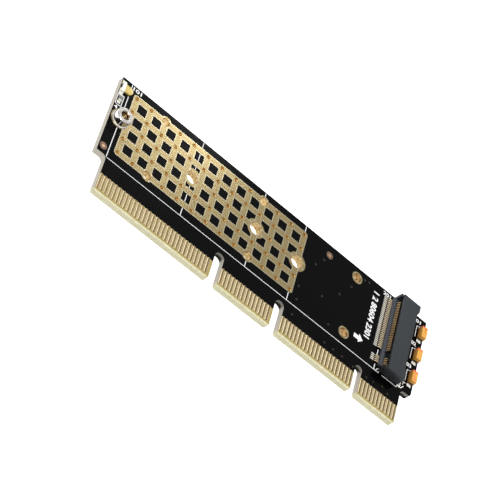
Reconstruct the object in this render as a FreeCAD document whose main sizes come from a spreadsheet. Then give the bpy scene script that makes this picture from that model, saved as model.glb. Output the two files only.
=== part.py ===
# Low-profile adapter card that carries one M.2 solid-state drive in a long edge-connector slot.
#
# The card lies on its back. X runs along its length, Y from the contact edge up to the top edge,
# Z out of the face with the parts on it. The origin is under the middle of the board.

import FreeCAD, Part
import Sketcher
import math
import os
import re

# Driving sizes in millimetres

SIZES = {
    # Board
    "board_length": 89.5,
    "board_height": 31.18,
    "board_thick": 1.57,
    "copper": 0.05,
    # Edge tongue, measured along X from the middle of the key notch
    "key_x": 29.86,
    "tongue_left": 72.0,
    "tongue_right": 12.0,
    "tongue_drop": 9.55,
    "inner_round": 1.0,
    "outer_round": 0.8,
    "foot_corner": 0.35,
    "key_width": 1.9,
    "key_rise": 7.4,
    "relief_width": 2.41,
    "relief_rise": 7.95,
    "relief_near": 23.25,
    "relief_far": 40.24,
    "bevel_rise": 0.4,
    "bevel_depth": 0.15,
    # Edge contacts
    "finger_pitch": 1.0,
    "finger_width": 0.72,
    "finger_low": 0.9,
    "finger_high": 5.0,
    "finger_corner": 0.22,
    "finger_from_key": 1.5,
    # Drive position: where the drive's end stops, its centre line and its fixing lengths
    "stop_x": 37.83,
    "axis_y": 4.83,
    "drive_longest": 80.0,
    "drive_long": 60.0,
    "drive_medium": 42.0,
    "drive_short": 30.0,
    "fix_hole": 3.1,
    "fix_land": 4.7,
    "side_hole": 2.1,
    "side_land": 2.95,
    "side_first": 14.0,
    "side_step": 28.0,
    "side_rise": 8.0,
    # Copper lattice under the drive
    "grid_step": 4.0,
    "grid_start": 78.0,
    "grid_margin": 0.85,
    "grid_opening": 2.3,
    "grid_round": 0.7,
    # Alignment marks
    "mark_size": 1.8,
    "mark_left": 43.6,
    "mark_left_y": -4.23,
    "mark_right": 15.46,
    "mark_right_y": 12.81,
    # Standoff
    "post_size": 3.9,
    "post_rise": 1.9,
    "post_thread": 1.7,
    "post_mouth": 0.3,
    "post_edge": 0.2,
    "post_gap": 0.05,
    # Drive socket: distances along X count from the drive's stop, heights from the board
    "sock_length": 21.5,
    "sock_height": 2.75,
    "roof_front": 2.5,
    "roof_under": 2.1,
    "wall_front": 3.07,
    "wall_height": 2.4,
    "lip_front": 3.77,
    "lip_back": 2.95,
    "lip_height": 0.9,
    "lip_length": 19.4,
    "mouth_length": 20.0,
    "stop_gap": 0.1,
    "rear_end": 2.43,
    "rear_recess": 0.5,
    "recess_half": 7.8,
    "recess_slant": 1.3,
    "slot_width": 0.3,
    "slot_floor": 0.3,
    "slot_back": 0.45,
    "slot_cover": 0.5,
    "slot_roof": 2.45,
    "slot_stem": 1.28,
    "rib_offset": 6.125,
    "rib_width": 1.0,
    "rib_front": 1.9,
    "core_width": 1.6,
    "lead_in": 0.25,
    # Socket contacts
    "pin_pitch": 0.5,
    "pin_first": 9.0,
    "pin_shift": 0.25,
    "pin_resume": 7.5,
    "pin_width": 0.2,
    "pin_thick": 0.12,
    "lower_tail": 5.67,
    "lower_bend": 4.8,
    "lower_rise": 4.4,
    "lower_level": 0.34,
    "lower_hump": 2.3,
    "lower_hump_z": 1.5,
    "lower_tip": 1.5,
    "lower_tip_z": 1.2,
    "upper_tail": 3.4,
    "upper_stem": 1.62,
    "upper_level": 2.27,
    "upper_drop": 0.3,
    "upper_hump": 1.4,
    "upper_hump_z": 1.72,
    "upper_tip": 2.0,
    "upper_tip_z": 1.95,
    # Socket solder tabs
    "tab_offset": 9.9,
    "tab_width": 1.1,
    "tab_thick": 0.2,
    "tab_rise": 1.0,
    "tab_foot": 0.9,
    # Moulded capacitors
    "cap_inset": 1.15,
    "cap_y": 4.7,
    "cap_step": 6.42,
    "cap_length": 3.2,
    "cap_width": 1.6,
    "cap_height": 1.5,
    "cap_split": 0.75,
    "cap_taper": 5.0,
    "cap_lead": 0.12,
    "cap_lead_width": 1.3,
    "cap_lead_foot": 0.8,
    # Side-looking lamp
    "lamp_inset": 1.11,
    "lamp_y": 12.91,
    "lamp_length": 2.5,
    "lamp_depth": 0.75,
    "lamp_height": 0.5,
    "lamp_lead": 0.25,
    "lamp_lead_foot": 0.6,
    "lens_reach": 2.0,
    "lens_width": 2.0,
    "lens_height": 0.4,
    # Chip resistor
    "chip_inset": 0.88,
    "chip_y": 9.6,
    "chip_length": 1.6,
    "chip_width": 0.8,
    "chip_height": 0.45,
    "chip_end": 0.3,
}

# Levels and places worked out from the sizes, as expressions

FRONT = "(copper + board_thick)"
LAND = "(copper + board_thick + copper)"
FOOT_Y = "(-board_height / 2)"
TOP_Y = "(board_height / 2)"
EARS_Y = "(tongue_drop - board_height / 2)"
GRID_LEFT = "(stop_x - grid_start)"

# Edge contacts in four groups, each with its first and last contact counted from the right

CONTACT_NUMBERS = {"x1": (1, 11), "x4": (12, 32), "x8": (36, 49), "x16": (53, 82)}
CONTACTS_BEFORE_KEY = 11

# Notches in the tongue, each with its middle and its width

NOTCHES = (
    ("key_x", "key_width"),
    ("key_x - relief_near", "relief_width"),
    ("key_x - relief_far", "relief_width"),
)

# Places of the drive's fixing holes, and how many columns and rows of openings the lattice has

FIXING_PLACES = ("drive_longest", "drive_long", "drive_medium", "drive_short")
GRID_COLUMNS = 12
GRID_ROWS = 4

# How many socket contacts stand in each run, before and after the socket's key, and where it starts

LOWER_RUNS = (29, 4)
UPPER_RUNS = (29, 5)
LOWER_STARTS = ("pin_first", "-pin_resume")
UPPER_STARTS = ("pin_first + pin_shift", "-pin_resume + pin_shift")

doc = FreeCAD.newDocument("adapter_card")


# The sheet of driving sizes

def make_sheet():
    table = doc.addObject("Spreadsheet::Sheet", "Sizes")
    for row, (word, number) in enumerate(SIZES.items(), start=1):
        table.set("A%d" % row, word)
        table.set("B%d" % row, str(number))
        table.setAlias("B%d" % row, word)
    doc.recompute()
    return table


sheet = make_sheet()


def bound(text):
    """The expression with each size's name written as its cell in the sheet."""
    def cell(word):
        return "Sizes." + word.group() if word.group() in SIZES else word.group()
    return re.sub(r"[a-z][a-z0-9_]*", cell, text)


def value(text):
    """The number that an expression gives now."""
    return float(sheet.evalExpression(bound(text)))


# Sketch and feature helpers

def new_body(name):
    body = doc.addObject("PartDesign::Body", name)
    body.Label = name
    body.AllowCompound = True
    return body


def origin_of(body, role):
    return next(feature for feature in body.Origin.OriginFeatures if feature.Role == role)


def new_sketch(body, name, plane, level="0"):
    """A sketch on one of the body's own planes, moved along that plane's normal by level."""
    sketch = body.newObject("Sketcher::SketchObject", name)
    sketch.AttachmentSupport = (origin_of(body, plane), [""])
    sketch.MapMode = "FlatFace"
    sketch.setExpression("AttachmentOffset.Base.z", bound(level))
    return sketch


def hold(sketch, held):
    """Ties points to the sketch's origin: each is (geometry, end, x or None, y or None)."""
    for geometry, end, x, y in held:
        for kind, text in (("DistanceX", x), ("DistanceY", y)):
            if text is not None:
                rule = Sketcher.Constraint(kind, -1, 1, geometry, end, value(text))
                number = sketch.addConstraint(rule)
                sketch.setExpression("Constraints[%d]" % number, bound(text))


def add_polygon(sketch, corners):
    """A closed outline of straight lines through the corners, each an (x, y) pair of expressions."""
    points = [FreeCAD.Vector(value(x), value(y), 0) for x, y in corners]
    first = sketch.GeometryCount
    count = len(points)
    sketch.addGeometry([Part.LineSegment(points[i], points[(i + 1) % count]) for i in range(count)], False)
    for i in range(count):
        sketch.addConstraint(Sketcher.Constraint("Coincident", first + i, 2, first + (i + 1) % count, 1))
    hold(sketch, [(first + i, 1, x, y) for i, (x, y) in enumerate(corners)])


def add_rectangle(sketch, left, right, low, high):
    add_polygon(sketch, [(left, low), (right, low), (right, high), (left, high)])


def add_round_top(sketch, middle, width, low, high):
    """An upright strip whose top end is a half circle."""
    left = "%s - %s / 2" % (middle, width)
    right = "%s + %s / 2" % (middle, width)
    shoulder = "%s - %s / 2" % (high, width)
    x0, x1, y0, y1 = value(left), value(right), value(low), value(shoulder)
    first = sketch.GeometryCount
    lines = [
        Part.LineSegment(FreeCAD.Vector(x0, y1, 0), FreeCAD.Vector(x0, y0, 0)),
        Part.LineSegment(FreeCAD.Vector(x0, y0, 0), FreeCAD.Vector(x1, y0, 0)),
        Part.LineSegment(FreeCAD.Vector(x1, y0, 0), FreeCAD.Vector(x1, y1, 0)),
    ]
    circle = Part.Circle(FreeCAD.Vector((x0 + x1) / 2, y1, 0), FreeCAD.Vector(0, 0, 1), (x1 - x0) / 2)
    sketch.addGeometry(lines + [Part.ArcOfCircle(circle, 0.0, math.pi)], False)
    joins = [Sketcher.Constraint("Coincident", first + i, 2, first + (i + 1) % 4, 1) for i in range(4)]
    sketch.addConstraint(joins)
    hold(sketch, [
        (first, 1, left, shoulder),
        (first + 1, 1, left, low),
        (first + 2, 1, right, low),
        (first + 3, 1, right, shoulder),
        (first + 3, 3, None, shoulder),
    ])


def add_circles(sketch, centres, diameter):
    """Circles of one diameter at the centres, each an (x, y) pair of expressions."""
    for x, y in centres:
        centre = FreeCAD.Vector(value(x), value(y), 0)
        circle = Part.Circle(centre, FreeCAD.Vector(0, 0, 1), value(diameter) / 2)
        number = sketch.addGeometry(circle, False)
        rule = sketch.addConstraint(Sketcher.Constraint("Diameter", number, value(diameter)))
        sketch.setExpression("Constraints[%d]" % rule, bound(diameter))
        hold(sketch, [(number, 3, x, y)])


def pad(body, name, sketch, length, symmetric=False, down=False):
    feature = body.newObject("PartDesign::Pad", name)
    feature.Profile = sketch
    feature.SideType = "Symmetric" if symmetric else "One side"
    feature.setExpression("Length", bound(length))
    feature.Reversed = down
    return feature


def pocket(body, name, sketch, length, symmetric=False, up=False):
    """Cuts the sketch's outline away and makes sure that it took something off."""
    doc.recompute()
    before = body.Shape.Volume
    feature = body.newObject("PartDesign::Pocket", name)
    feature.Profile = sketch
    feature.SideType = "Symmetric" if symmetric else "One side"
    feature.setExpression("Length", bound(length))
    feature.Reversed = up
    doc.recompute()
    if not body.Shape.Volume < before:
        raise ValueError("%s cuts nothing" % name)
    return feature


def repeat(body, name, feature, axis, spacing, count, backwards=False):
    """A row of the feature along one of the body's axes."""
    row = body.newObject("PartDesign::LinearPattern", name)
    row.Originals = [feature]
    row.Direction = (origin_of(body, axis), [""])
    row.Reversed = backwards
    row.Mode = "Spacing"
    row.setExpression("Offset", bound(spacing))
    row.Occurrences = count
    body.Tip = row
    return row


def dress(body, kind, name, size, chosen):
    """A fillet or chamfer on the edges that the test chooses."""
    doc.recompute()
    base = body.Tip
    edges = ["Edge%d" % (i + 1) for i, edge in enumerate(base.Shape.Edges) if chosen(edge)]
    feature = body.newObject("PartDesign::" + kind, name)
    feature.Base = (base, edges)
    feature.setExpression("Radius" if kind == "Fillet" else "Size", bound(size))
    return feature


def upright_at(x, y):
    """Chooses the edge along Z that stands at x, y."""
    def chosen(edge):
        ends = [vertex.Point for vertex in edge.Vertexes]
        near = [abs(end.x - value(x)) < 0.01 and abs(end.y - value(y)) < 0.01 for end in ends]
        return len(ends) == 2 and all(near)
    return chosen


def any_of(tests):
    return lambda edge: any(test(edge) for test in tests)


# Places of holes

def fixing_centres():
    return [("stop_x - " + place, "axis_y") for place in FIXING_PLACES]


def side_centres():
    across = ("axis_y + side_rise", "axis_y - side_rise")
    return [("stop_x - side_first - %d * side_step" % i, y) for i in range(3) for y in across]


# Circuit board: one laminate plate with a notched edge tongue, bevelled on both faces

def make_board():
    body = new_body("circuit_board")
    outline = new_sketch(body, "BoardOutline", "XY_Plane", "copper")
    left = "-board_length / 2"
    right = "board_length / 2"
    tongue_left = "key_x - tongue_left"
    tongue_right = "key_x + tongue_right"
    add_polygon(outline, [
        (tongue_left, FOOT_Y),
        (tongue_right, FOOT_Y),
        (tongue_right, EARS_Y),
        (right, EARS_Y),
        (right, TOP_Y),
        (left, TOP_Y),
        (left, EARS_Y),
        (tongue_left, EARS_Y),
    ])
    pad(body, "Board", outline, "board_thick")

    notches = new_sketch(body, "NotchOutlines", "XY_Plane", FRONT)
    below = FOOT_Y + " - key_width"
    for (middle, width), rise in zip(NOTCHES, ("key_rise", "relief_rise", "relief_rise")):
        add_round_top(notches, middle, width, below, FOOT_Y + " + " + rise)
    pocket(body, "Notches", notches, "board_thick")
    feet = [tongue_left, tongue_right]
    for middle, width in NOTCHES:
        feet += ["%s - %s / 2" % (middle, width), "%s + %s / 2" % (middle, width)]
    dress(body, "Chamfer", "FootCorners", "foot_corner", any_of([upright_at(x, FOOT_Y) for x in feet]))

    bevels = new_sketch(body, "BevelOutlines", "YZ_Plane", "key_x")
    for face, sign in (("copper", "+"), (FRONT, "-")):
        add_polygon(bevels, [
            (FOOT_Y, face),
            (FOOT_Y + " + bevel_rise", face),
            (FOOT_Y, "%s %s bevel_depth" % (face, sign)),
        ])
    pocket(body, "EdgeBevels", bevels, "board_length + tongue_left", symmetric=True)

    for name, centres, bore in (
        ("FixingHoles", fixing_centres(), "fix_hole"),
        ("SideHoles", side_centres(), "side_hole"),
    ):
        circles = new_sketch(body, name + "Outlines", "XY_Plane", FRONT)
        add_circles(circles, centres, bore)
        pocket(body, name, circles, "board_thick")

    dress(body, "Fillet", "InnerCorners", "inner_round", any_of([
        upright_at(tongue_left, EARS_Y),
        upright_at(tongue_right, EARS_Y),
    ]))
    dress(body, "Fillet", "OuterCorners", "outer_round", upright_at(right, EARS_Y))
    return body


# Edge contacts: flat gold-plated strips with clipped top corners, in four groups on each face

def contact_x(number):
    if number <= CONTACTS_BEFORE_KEY:
        return "key_x + finger_from_key + %d * finger_pitch" % (CONTACTS_BEFORE_KEY - number)
    return "key_x - finger_from_key - %d * finger_pitch" % (number - CONTACTS_BEFORE_KEY - 1)


def make_contacts(side, level):
    for group, (first, last) in CONTACT_NUMBERS.items():
        body = new_body("%s_contacts_%s" % (side, group))
        outline = new_sketch(body, "Finger", "XY_Plane", level)
        left = contact_x(first) + " - finger_width / 2"
        right = contact_x(first) + " + finger_width / 2"
        low = FOOT_Y + " + finger_low"
        high = FOOT_Y + " + finger_high"
        add_polygon(outline, [
            (left, low),
            (right, low),
            (right, high + " - finger_corner"),
            (right + " - finger_corner", high),
            (left + " + finger_corner", high),
            (left, high + " - finger_corner"),
        ])
        strip = pad(body, "Strip", outline, "copper")
        repeat(body, "Strips", strip, "X_Axis", "finger_pitch", last - first + 1, backwards=True)


# Copper lattice that spreads the drive's heat, joined to the lands round the holes that it meets

def make_lattice():
    body = new_body("copper_lattice")
    left = GRID_LEFT + " - grid_margin"
    right = GRID_LEFT + " + %d * grid_step + grid_margin" % GRID_COLUMNS
    low = "axis_y - side_rise - grid_margin"
    high = "axis_y - side_rise + %d * grid_step + grid_margin" % GRID_ROWS
    outline = new_sketch(body, "Outline", "XY_Plane", FRONT)
    add_rectangle(outline, left, right, low, high)
    pad(body, "Sheet", outline, "copper")
    corners = [upright_at(x, y) for x in (left, right) for y in (low, high)]
    dress(body, "Fillet", "Corners", "grid_round", any_of(corners))

    window = new_sketch(body, "Window", "XY_Plane", LAND)
    across = "grid_step / 2 - grid_opening / 2"
    near_x = "%s + %s" % (GRID_LEFT, across)
    near_y = "axis_y - side_rise + " + across
    add_rectangle(window, near_x, near_x + " + grid_opening", near_y, near_y + " + grid_opening")
    opening = pocket(body, "Opening", window, "copper")
    grid = body.newObject("PartDesign::LinearPattern", "Openings")
    grid.Originals = [opening]
    grid.Direction = (origin_of(body, "X_Axis"), [""])
    grid.Direction2 = (origin_of(body, "Y_Axis"), [""])
    grid.setExpression("Length", bound("%d * grid_step" % (GRID_COLUMNS - 1)))
    grid.setExpression("Length2", bound("%d * grid_step" % (GRID_ROWS - 1)))
    grid.Occurrences = GRID_COLUMNS
    grid.Occurrences2 = GRID_ROWS
    body.Tip = grid

    lands = new_sketch(body, "LandOutlines", "XY_Plane", FRONT)
    add_circles(lands, fixing_centres(), "fix_land")
    add_circles(lands, side_centres()[2:], "side_land")
    pad(body, "Lands", lands, "copper")
    bores = new_sketch(body, "BoreOutlines", "XY_Plane", LAND)
    add_circles(bores, fixing_centres(), "fix_hole")
    add_circles(bores, side_centres()[2:], "side_hole")
    pocket(body, "Bores", bores, "copper")


# Lands round the two side holes that stand clear of the lattice

def make_side_lands():
    body = new_body("side_hole_lands")
    rings = new_sketch(body, "RingOutlines", "XY_Plane", FRONT)
    add_circles(rings, side_centres()[:2], "side_land")
    add_circles(rings, side_centres()[:2], "side_hole")
    pad(body, "Rings", rings, "copper")


# Alignment marks: two bare copper discs

def make_marks():
    body = new_body("alignment_marks")
    discs = new_sketch(body, "DiscOutlines", "XY_Plane", FRONT)
    centres = [("mark_right", "mark_right_y"), ("-mark_left", "mark_left_y")]
    add_circles(discs, centres, "mark_size")
    pad(body, "Discs", discs, "copper")


# Standoff: a turned post with a threaded bore, its stub seated in the longest drive's hole

def make_standoff():
    body = new_body("standoff")
    section = new_sketch(body, "Section", "XZ_Plane")
    bore = "post_thread / 2"
    stub = "fix_hole / 2 - post_gap"
    top = LAND + " + post_rise"
    add_polygon(section, [
        (bore, "copper"),
        (stub, "copper"),
        (stub, LAND),
        ("post_size / 2", LAND),
        ("post_size / 2", top + " - post_edge"),
        ("post_size / 2 - post_edge", top),
        (bore + " + post_mouth", top),
        (bore, top + " - post_mouth"),
    ])
    turned = body.newObject("PartDesign::Revolution", "Turned")
    turned.Profile = section
    turned.ReferenceAxis = (origin_of(body, "Z_Axis"), [""])
    turned.Angle = 360.0
    body.setExpression("Placement.Base.x", bound("stop_x - drive_longest"))
    body.setExpression("Placement.Base.y", bound("axis_y"))


# Drive socket: a moulded housing whose frame sits at the drive's stop, on the board. Each lower
# contact has a slot of its own, and each run of upper contacts has one channel under the roof.

def place_on_socket(body):
    body.setExpression("Placement.Base.x", bound("stop_x"))
    body.setExpression("Placement.Base.y", bound("axis_y"))
    body.setExpression("Placement.Base.z", bound(FRONT))


def add_lower_slots(body, profile):
    for run, (start, count) in enumerate(zip(LOWER_STARTS, LOWER_RUNS), start=1):
        sketch = new_sketch(body, "SlotOutline%d" % run, "XZ_Plane", "-(%s)" % start)
        add_polygon(sketch, profile)
        slot = pocket(body, "Slot%d" % run, sketch, "slot_width", symmetric=True)
        repeat(body, "SlotRow%d" % run, slot, "Y_Axis", "pin_pitch", count, backwards=True)


def add_upper_channels(body, profile):
    for run, (start, count) in enumerate(zip(UPPER_STARTS, UPPER_RUNS), start=1):
        span = "%d * pin_pitch" % (count - 1)
        sketch = new_sketch(body, "ChannelOutline%d" % run, "XZ_Plane", "%s / 2 - (%s)" % (span, start))
        add_polygon(sketch, profile)
        pocket(body, "Channel%d" % run, sketch, span + " + slot_width", symmetric=True)


def about_key(width):
    """The two ends of a width that is centred on the socket's key."""
    return "-rib_offset - %s / 2" % width, "-rib_offset + %s / 2" % width


def make_socket_housing():
    body = new_body("socket_housing")
    section = new_sketch(body, "OuterSection", "XZ_Plane")
    add_polygon(section, [
        ("-lip_front", "0"),
        ("rear_end", "0"),
        ("rear_end", "sock_height"),
        ("-roof_front", "sock_height"),
        ("-roof_front", "wall_height"),
        ("-wall_front", "wall_height"),
        ("-wall_front", "lip_height"),
        ("-lip_front", "lip_height"),
    ])
    pad(body, "Block", section, "sock_length", symmetric=True)

    mouth = new_sketch(body, "MouthSection", "XZ_Plane")
    ahead = "-lip_front - stop_gap"
    add_polygon(mouth, [
        (ahead, "lip_height"),
        ("stop_gap", "lip_height"),
        ("stop_gap", "roof_under"),
        ("-roof_front + lead_in", "roof_under"),
        ("-roof_front", "roof_under + lead_in"),
        ("-roof_front", "sock_height + stop_gap"),
        (ahead, "sock_height + stop_gap"),
    ])
    pocket(body, "Mouth", mouth, "mouth_length", symmetric=True)

    ends = new_sketch(body, "LipEnds", "XY_Plane")
    for sign in ("", "-"):
        inner = sign + "lip_length / 2"
        outer = sign + "sock_length"
        add_rectangle(ends, ahead, "-wall_front", inner, outer)
    pocket(body, "LipEndCuts", ends, "sock_height", up=True)

    rear = new_sketch(body, "RearRecess", "XY_Plane")
    wide = "(recess_half + recess_slant)"
    add_polygon(rear, [
        ("rear_end + rear_recess", "-%s - recess_slant" % wide),
        ("rear_end + rear_recess", wide + " + recess_slant"),
        ("rear_end", wide),
        ("rear_end - rear_recess", "recess_half"),
        ("rear_end - rear_recess", "-recess_half"),
        ("rear_end", "-" + wide),
    ])
    pocket(body, "RearCut", rear, "sock_height", up=True)

    add_lower_slots(body, [
        (ahead, "-slot_floor"),
        ("-lip_back + slot_width", "-slot_floor"),
        ("-lip_back + slot_width", "slot_floor"),
        ("-slot_back", "slot_floor"),
        ("-slot_back", "lip_height + slot_floor"),
        ("-lip_back", "lip_height + slot_floor"),
        ("-lip_back", "slot_cover"),
        (ahead, "slot_cover"),
    ])
    behind = "rear_end + stop_gap"
    add_upper_channels(body, [
        ("-roof_front + lead_in", "roof_under - slot_floor"),
        ("slot_stem", "roof_under - slot_floor"),
        ("slot_stem", "-slot_floor"),
        (behind, "-slot_floor"),
        (behind, "slot_roof"),
        ("-roof_front + lead_in", "slot_roof"),
    ])

    core = new_sketch(body, "KeyCore", "XY_Plane", "lip_height")
    add_rectangle(core, "-lip_back", "-rib_front", *about_key("core_width"))
    pocket(body, "KeyCoreCut", core, "lip_height - slot_floor")

    rib = new_sketch(body, "KeyRib", "XY_Plane", "lip_height")
    add_rectangle(rib, "-rib_front", "stop_gap", *about_key("rib_width"))
    pad(body, "Key", rib, "roof_under - lip_height")

    place_on_socket(body)


# Socket contacts: strips bent from thin sheet, one row on the mouth's floor and one under its roof

def make_socket_contacts(name, path, run_starts, counts):
    body = new_body(name)
    for run, (start, count) in enumerate(zip(run_starts, counts), start=1):
        route = new_sketch(body, "Route%d" % run, "XZ_Plane", "-(%s)" % start)
        points = [FreeCAD.Vector(value(x), value(z), 0) for x, z in path]
        route.addGeometry([Part.LineSegment(a, b) for a, b in zip(points, points[1:])], False)
        last = len(points) - 2
        route.addConstraint([Sketcher.Constraint("Coincident", i, 2, i + 1, 1) for i in range(last)])
        hold(route, [(i, 1, x, z) for i, (x, z) in enumerate(path[:-1])])
        hold(route, [(last, 2) + path[-1]])
        section = new_sketch(body, "Section%d" % run, "YZ_Plane", path[0][0])
        add_rectangle(
            section,
            start + " - pin_width / 2",
            start + " + pin_width / 2",
            path[0][1] + " - pin_thick / 2",
            path[0][1] + " + pin_thick / 2",
        )
        bent = body.newObject("PartDesign::AdditivePipe", "Bent%d" % run)
        bent.Profile = section
        bent.Spine = route
        bent.Transition = "Right corner"
        doc.recompute()
        repeat(body, "Row%d" % run, bent, "Y_Axis", "pin_pitch", count, backwards=True)
    place_on_socket(body)


def make_lower_contacts():
    make_socket_contacts("socket_lower_contacts", [
        ("-lower_tail", "pin_thick / 2"),
        ("-lower_bend", "pin_thick / 2"),
        ("-lower_rise", "lower_level"),
        ("-lip_back", "lower_level"),
        ("-lower_hump", "lower_hump_z"),
        ("-lower_tip", "lower_tip_z"),
    ], LOWER_STARTS, LOWER_RUNS)


def make_upper_contacts():
    make_socket_contacts("socket_upper_contacts", [
        ("upper_tail", "pin_thick / 2"),
        ("upper_stem", "pin_thick / 2"),
        ("upper_stem", "upper_level"),
        ("-upper_drop", "upper_level"),
        ("-upper_hump", "upper_hump_z"),
        ("-upper_tip", "upper_tip_z"),
    ], UPPER_STARTS, UPPER_RUNS)


# Solder tabs: two bent straps that hold the socket's rear corners down

def make_socket_tabs():
    body = new_body("socket_solder_tabs")
    section = new_sketch(body, "Section", "XZ_Plane", "-tab_offset")
    add_polygon(section, [
        ("rear_end", "0"),
        ("rear_end + tab_foot", "0"),
        ("rear_end + tab_foot", "tab_thick"),
        ("rear_end + tab_thick", "tab_thick"),
        ("rear_end + tab_thick", "tab_rise"),
        ("rear_end", "tab_rise"),
    ])
    strap = pad(body, "Strap", section, "tab_width", symmetric=True)
    both = body.newObject("PartDesign::Mirrored", "Straps")
    both.Originals = [strap]
    both.MirrorPlane = (origin_of(body, "XZ_Plane"), [""])
    body.Tip = both
    place_on_socket(body)


# Moulded capacitors: a body that narrows up and down from its parting line, on two folded leads

def make_capacitor(number):
    offset = "cap_y + %d * cap_step" % (2 - number)
    leads = new_body("capacitor_%d_leads" % number)
    section = new_sketch(leads, "Section", "YZ_Plane")
    inner = "cap_length / 2"
    add_polygon(section, [
        (inner + " - cap_lead_foot", "0"),
        (inner + " + cap_lead", "0"),
        (inner + " + cap_lead", "cap_split"),
        (inner, "cap_split"),
        (inner, "cap_lead"),
        (inner + " - cap_lead_foot", "cap_lead"),
    ])
    lead = pad(leads, "Lead", section, "cap_lead_width", symmetric=True)
    both = leads.newObject("PartDesign::Mirrored", "Leads")
    both.Originals = [lead]
    both.MirrorPlane = (origin_of(leads, "XZ_Plane"), [""])
    leads.Tip = both

    case = new_body("capacitor_%d" % number)
    parting = new_sketch(case, "PartingLine", "XY_Plane", "cap_split")
    add_rectangle(parting, "-cap_width / 2", "cap_width / 2", "-cap_length / 2", "cap_length / 2")
    for name, height, down in (
        ("Lower", "cap_split - cap_lead", True),
        ("Upper", "cap_lead + cap_height - cap_split", False),
    ):
        half = pad(case, name, parting, height, down=down)
        half.setExpression("TaperAngle", bound("-cap_taper"))
    for body in (leads, case):
        body.setExpression("Placement.Base.x", bound("board_length / 2 - cap_inset"))
        body.setExpression("Placement.Base.y", bound(offset))
        body.setExpression("Placement.Base.z", bound(FRONT))


# Side-looking lamp: a white case, a half-round lens on its face and a lead folded round each end

def make_lamp():
    case = new_body("lamp_case")
    outline = new_sketch(case, "Outline", "XY_Plane")
    add_rectangle(outline, "-lamp_depth", "0", "-lamp_length / 2", "lamp_length / 2")
    pad(case, "Case", outline, "lamp_height")

    lens = new_body("lamp_lens")
    profile = new_sketch(lens, "Profile", "XY_Plane")
    shoulder = "lens_reach - lens_width / 2"
    low, high = "-lens_width / 2", "lens_width / 2"
    x1, y1 = value(shoulder), value(high)
    circle = Part.Circle(FreeCAD.Vector(x1, 0, 0), FreeCAD.Vector(0, 0, 1), y1)
    profile.addGeometry([
        Part.LineSegment(FreeCAD.Vector(x1, y1, 0), FreeCAD.Vector(0, y1, 0)),
        Part.LineSegment(FreeCAD.Vector(0, y1, 0), FreeCAD.Vector(0, -y1, 0)),
        Part.LineSegment(FreeCAD.Vector(0, -y1, 0), FreeCAD.Vector(x1, -y1, 0)),
        Part.ArcOfCircle(circle, -math.pi / 2, math.pi / 2),
    ], False)
    profile.addConstraint([Sketcher.Constraint("Coincident", i, 2, (i + 1) % 4, 1) for i in range(4)])
    hold(profile, [
        (0, 1, shoulder, high),
        (1, 1, "0", high),
        (2, 1, "0", low),
        (3, 1, shoulder, low),
        (3, 3, shoulder, None),
    ])
    pad(lens, "Dome", profile, "lens_height")

    leads = new_body("lamp_leads")
    bent = new_sketch(leads, "Outline", "XY_Plane")
    end = "lamp_length / 2"
    add_polygon(bent, [
        ("0", end),
        ("0", end + " + lamp_lead"),
        ("-lamp_depth - lamp_lead", end + " + lamp_lead"),
        ("-lamp_depth - lamp_lead", end + " - lamp_lead_foot"),
        ("-lamp_depth", end + " - lamp_lead_foot"),
        ("-lamp_depth", end),
    ])
    lead = pad(leads, "Lead", bent, "lens_height")
    both = leads.newObject("PartDesign::Mirrored", "Leads")
    both.Originals = [lead]
    both.MirrorPlane = (origin_of(leads, "XZ_Plane"), [""])
    leads.Tip = both
    for body in (case, lens, leads):
        body.setExpression("Placement.Base.x", bound("lamp_inset - board_length / 2"))
        body.setExpression("Placement.Base.y", bound("lamp_y"))
        body.setExpression("Placement.Base.z", bound(FRONT))


# Chip resistor: a flat ceramic block between two plated ends

def make_resistor():
    block = new_body("resistor_block")
    outline = new_sketch(block, "Outline", "XY_Plane")
    across = ("-chip_width / 2", "chip_width / 2")
    inner = "(chip_length / 2 - chip_end)"
    add_rectangle(outline, *across, "-" + inner, inner)
    pad(block, "Block", outline, "chip_height")

    caps = new_body("resistor_ends")
    ends = new_sketch(caps, "Outlines", "XY_Plane")
    for sign in ("", "-"):
        add_rectangle(ends, *across, sign + inner, sign + "chip_length / 2")
    pad(caps, "Ends", ends, "chip_height + copper")
    for body in (block, caps):
        body.setExpression("Placement.Base.x", bound("chip_inset - board_length / 2"))
        body.setExpression("Placement.Base.y", bound("chip_y"))
        body.setExpression("Placement.Base.z", bound(FRONT))


make_board()
make_contacts("front", FRONT)
make_contacts("back", "0")
make_lattice()
make_side_lands()
make_marks()
make_standoff()
make_socket_housing()
make_lower_contacts()
make_upper_contacts()
make_socket_tabs()
for place in (1, 2, 3):
    make_capacitor(place)
make_lamp()
make_resistor()
doc.recompute()

# Every object must be sound before anything is written

bodies = [thing for thing in doc.Objects if thing.TypeId == "PartDesign::Body"]
for thing in doc.Objects:
    if "Invalid" in thing.State or "Error" in thing.State:
        raise ValueError("%s did not build" % thing.FullName)
for body in bodies:
    if body.Shape.isNull() or not body.Shape.isValid():
        raise ValueError("%s is not a sound solid" % body.Label)

os.makedirs("parts", exist_ok=True)
for body in bodies:
    body.Shape.exportStep("parts/%s.step" % body.Label)
    print("%-26s %4d solids %5d faces %9.3f mm3" % (
        body.Label, len(body.Shape.Solids), len(body.Shape.Faces), body.Shape.Volume))
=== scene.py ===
# Low-profile adapter card that carries one solid-state drive in a long edge-connector slot.
# The card is put together here in the order in which it is made: board, plating, ink, then the
# standoff, the drive socket and the small parts. Lengths are metres, x runs along the card, and a
# size in millimetres is multiplied by mm where it is used.

import bpy
import math
from mathutils import Matrix, Vector


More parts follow.
